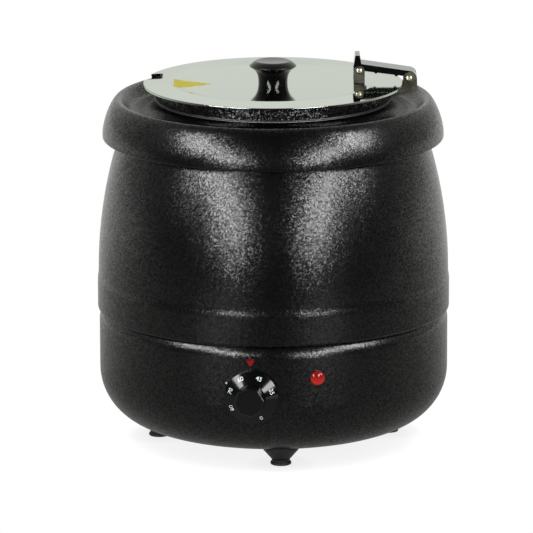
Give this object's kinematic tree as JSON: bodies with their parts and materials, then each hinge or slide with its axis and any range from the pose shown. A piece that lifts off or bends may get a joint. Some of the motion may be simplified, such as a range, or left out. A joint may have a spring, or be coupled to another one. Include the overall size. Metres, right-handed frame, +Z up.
{
  "type": "soup kettle",
  "caption": "Electric soup kettle with black textured casing, lift-out steel pot, hinged mirror-polished lid, temperature dial, pilot lamp and short feet.",
  "frame": {"origin": "on the table plane under the feet, on the kettle's vertical centre line", "axes": "+Z up; -Y is the front with the dial; +X is the lid hinge side"},
  "size_m": [0.34, 0.3818, 0.3764],
  "materials": {
    "black_powder_coat": "textured",
    "polished_steel": "polished",
    "pot_steel": "satin",
    "hinge_steel": "polished",
    "sheet_steel": "satin",
    "zinc_steel": "zinc plated",
    "rivet_brass": "polished",
    "brass": "satin",
    "gloss_black": "gloss",
    "matte_black": "matt",
    "rubber_black": "matt",
    "red_lens": "gloss",
    "red_pointer": "gloss",
    "yellow_film": "satin",
    "mineral_wool": "fibrous",
    "ceramic_white": "matt",
    "wire_insulation": "satin"
  },
  "bodies": {
    "kettle": {"upper_shell": "black_powder_coat", "base_shell": "black_powder_coat", "bottom_cover": "sheet_steel", "top_rim": "black_powder_coat", "heat_well": "sheet_steel", "insulation_jacket": "mineral_wool", "heating_element": "hinge_steel", "element_clamp": "sheet_steel", "tie_bolt": "zinc_steel", "tie_nuts": "zinc_steel", "thermal_cutout": "ceramic_white", "thermostat_body": "sheet_steel", "thermostat_screws": "zinc_steel", "thermostat_bulb": "brass", "bulb_clip": "zinc_steel", "dial_index": "red_pointer", "pilot_lamp_lens": "red_lens", "pilot_lamp_body": "matte_black", "pilot_lamp_nut": "matte_black", "terminal_block": "ceramic_white", "terminal_screws": "brass", "internal_wiring": "wire_insulation", "cable_gland": "matte_black", "gland_nut": "matte_black", "mains_lead": "rubber_black", "mains_plug": "rubber_black", "plug_pins": "brass", "feet": "matte_black", "foot_pads": "rubber_black", "foot_screws": "zinc_steel", "cover_screws": "zinc_steel"},
    "dial": {"temperature_dial": "gloss_black", "thermostat_shaft": "zinc_steel"},
    "pot": {"soup_pot": "pot_steel"},
    "ring": {"lid_ring": "black_powder_coat", "hinge_bracket": "hinge_steel", "bracket_rivets": "hinge_steel", "hinge_pin": "rivet_brass"},
    "arm": {"hinge_arm": "hinge_steel"},
    "lid": {"lid_plate": "polished_steel", "lid_bracket": "hinge_steel", "lid_bracket_rivets": "hinge_steel", "lid_pin": "rivet_brass", "lid_knob": "gloss_black", "knob_screw": "zinc_steel", "knob_washer": "zinc_steel", "lid_sticker": "yellow_film"}
  },
  "joints": [
    {"name": "dial_turn", "type": "hinge", "parent": "kettle", "child": "dial", "pos_m": [-0.02133, -0.1737, 0.0808], "axis": [-0.1219, -0.9925, 0], "range_deg": [-114.4, 154.4]},
    {"name": "pot_lift", "type": "slide", "parent": "kettle", "child": "pot", "axis": [0, 0, 1], "range_m": [0, 0.3]},
    {"name": "ring_lift", "type": "slide", "parent": "pot", "child": "ring", "axis": [0, 0, 1], "range_m": [0, 0.06]},
    {"name": "lid_hinge", "type": "hinge", "parent": "ring", "child": "arm", "pos_m": [0.1304, 0, 0.3544], "axis": [0, 1, 0], "range_deg": [0, 104]},
    {"name": "lid_tilt", "type": "hinge", "parent": "arm", "child": "lid", "pos_m": [0.0826, 0, 0.3618], "axis": [0, 1, 0], "range_deg": [-4, 0]}
  ],
  "couplings": [
    {"joint": "lid_tilt", "follows": "lid_hinge", "ratio": -0.038}
  ]
}
